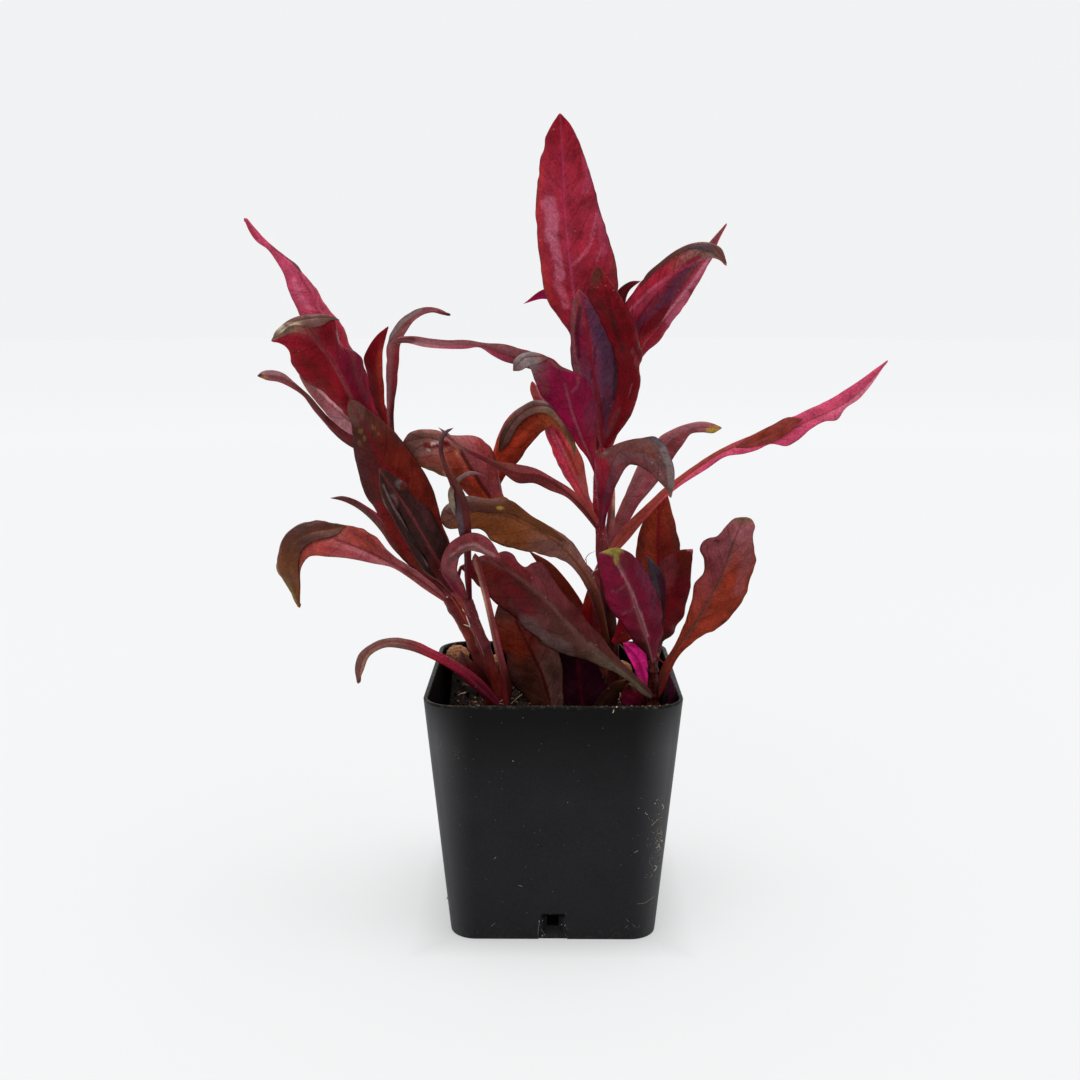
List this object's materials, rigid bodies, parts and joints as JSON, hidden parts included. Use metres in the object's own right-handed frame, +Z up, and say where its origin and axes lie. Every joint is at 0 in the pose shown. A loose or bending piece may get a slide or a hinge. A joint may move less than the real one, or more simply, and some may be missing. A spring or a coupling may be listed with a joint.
{
  "type": "potted aquarium plant",
  "caption": "Alternanthera reineckii, a red-leaved aquarium plant with curled leaves, rooted in a square tapered nursery pot with growing medium and clay balls.",
  "frame": {"origin": "middle of the pot's underside", "axes": "+Z up along the plant, -Y towards the viewer of the front, +X to the viewer's right"},
  "size_m": [0.1509, 0.057, 0.1839],
  "materials": {
    "clay": "matt",
    "medium": "matt",
    "maroon": "satin",
    "crimson": "satin",
    "olive_brown": "satin",
    "magenta": "satin",
    "pink_red": "satin",
    "mauve": "satin",
    "rust": "satin",
    "purple_black": "satin",
    "pot": "satin",
    "stem": "satin"
  },
  "bodies": {
    "root": {"clay_ball_left": "clay", "clay_ball_right": "clay", "clay_ball_small": "clay", "growing_medium": "medium", "leaf_back_dark": "maroon", "leaf_back_red_narrow": "crimson", "leaf_centre_brown_arch": "olive_brown", "leaf_centre_drooping": "magenta", "leaf_centre_long_left": "maroon", "leaf_centre_magenta": "magenta", "leaf_centre_pink_back": "pink_red", "leaf_centre_ribbon_left": "maroon", "leaf_centre_stalk_back": "mauve", "leaf_crown_front": "crimson", "leaf_crown_inner": "maroon", "leaf_crown_right_curled": "maroon", "leaf_crown_right_straight": "pink_red", "leaf_crown_sliver_left": "crimson", "leaf_crown_sliver_right": "crimson", "leaf_crown_tall": "crimson", "leaf_front_big": "maroon", "leaf_left_arched": "mauve", "leaf_left_big_dark": "rust", "leaf_left_broad": "crimson", "leaf_left_dark_front": "purple_black", "leaf_left_drooping": "rust", "leaf_left_dusky": "mauve", "leaf_left_edge_on": "olive_brown", "leaf_left_high": "pink_red", "leaf_left_narrow_red": "rust", "leaf_left_slender": "mauve", "leaf_left_small_curled": "mauve", "leaf_left_thin_dark": "mauve", "leaf_left_twisted": "maroon", "leaf_low_left_trailing": "crimson", "leaf_middle_brown": "rust", "leaf_middle_olive_arch": "olive_brown", "leaf_pot_bright_magenta": "magenta", "leaf_pot_brown": "rust", "leaf_pot_left_dark": "maroon", "leaf_pot_magenta_low": "magenta", "leaf_pot_olive": "olive_brown", "leaf_pot_purple": "purple_black", "leaf_pot_red_back": "crimson", "leaf_pot_right_purple": "purple_black", "leaf_right_arched_torn": "mauve", "leaf_right_folded": "rust", "leaf_right_front_magenta": "magenta", "leaf_right_long": "pink_red", "leaf_right_notched": "crimson", "leaf_right_rust_upright": "rust", "leaf_right_small_blue": "maroon", "pot": "pot", "stem_centre": "stem", "stem_left": "stem", "stem_left_main": "stem", "stem_left_upper": "stem", "stem_right": "stem"}
  },
  "joints": []
}
